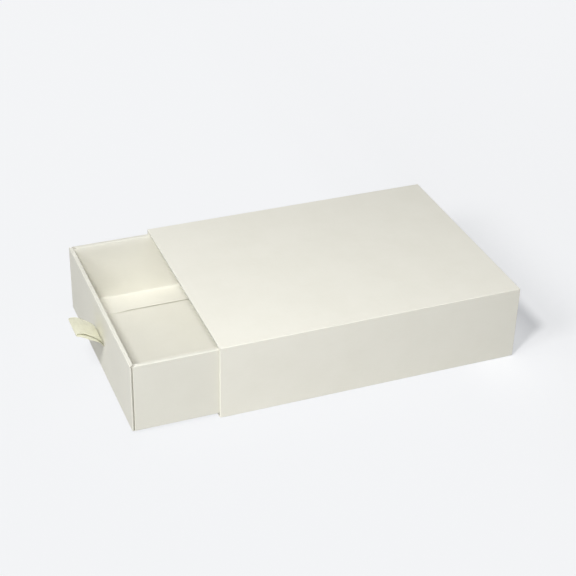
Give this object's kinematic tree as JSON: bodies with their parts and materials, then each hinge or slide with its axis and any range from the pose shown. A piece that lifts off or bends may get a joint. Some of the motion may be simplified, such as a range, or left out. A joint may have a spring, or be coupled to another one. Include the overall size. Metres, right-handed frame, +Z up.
{
  "type": "sliding drawer gift box",
  "caption": "Low rectangular gift box: an open drawer of ivory paper-covered board slides out of a flat sleeve, drawn by a folded ribbon tab on its front.",
  "frame": {"origin": "middle of the sleeve's underside, where it rests on the table", "axes": "+Z up, the drawer opens towards -Y, +X to the right of someone facing the drawer's front"},
  "size_m": [0.164, 0.301, 0.056],
  "materials": {
    "greyboard": "raw pressed greyboard",
    "ivory_cover": "ivory covering paper, matt with a faint sheen, very fine tooth",
    "ivory_lining": "ivory lining paper, matt",
    "flap_card": "ivory card, matt",
    "adhesive_strip": "translucent double-sided mounting tape",
    "ribbon": "ivory ribbed ribbon with a soft sheen"
  },
  "bodies": {
    "sleeve": {"sleeve_top_board": "greyboard", "sleeve_bottom_board": "greyboard", "sleeve_left_board": "greyboard", "sleeve_right_board": "greyboard", "sleeve_wrap": "ivory_cover", "sleeve_base_sheet": "ivory_cover", "sleeve_lining": "ivory_lining"},
    "drawer": {"drawer_base_board": "greyboard", "drawer_front_board": "greyboard", "drawer_back_board": "greyboard", "drawer_left_board": "greyboard", "drawer_right_board": "greyboard", "drawer_wrap": "ivory_cover", "drawer_lining": "ivory_lining", "corner_flap_front_left": "flap_card", "corner_flap_front_right": "flap_card", "corner_flap_back_left": "flap_card", "corner_flap_back_right": "flap_card", "corner_tape_front_left": "adhesive_strip", "corner_tape_front_right": "adhesive_strip", "corner_tape_back_left": "adhesive_strip", "corner_tape_back_right": "adhesive_strip", "side_lining_left": "ivory_lining", "side_lining_right": "ivory_lining", "floor_pad_board": "greyboard", "floor_pad_cover": "ivory_lining", "ribbon_tail_upper": "ribbon", "ribbon_tail_lower": "ribbon", "ribbon_patch": "ivory_lining"},
    "ribbon": {"ribbon_pull": "ribbon"}
  },
  "joints": [
    {"name": "drawer_slide", "type": "slide", "parent": "sleeve", "child": "drawer", "axis": [0, -1, 0], "range_m": [-0.0598, 0.134]},
    {"name": "ribbon_flex", "type": "hinge", "parent": "drawer", "child": "ribbon", "pos_m": [0.003, -0.1695, 0.02702], "axis": [-1, 0, 0], "range_deg": [-35, 15], "stiffness_Nm_per_rad": 0.003}
  ]
}
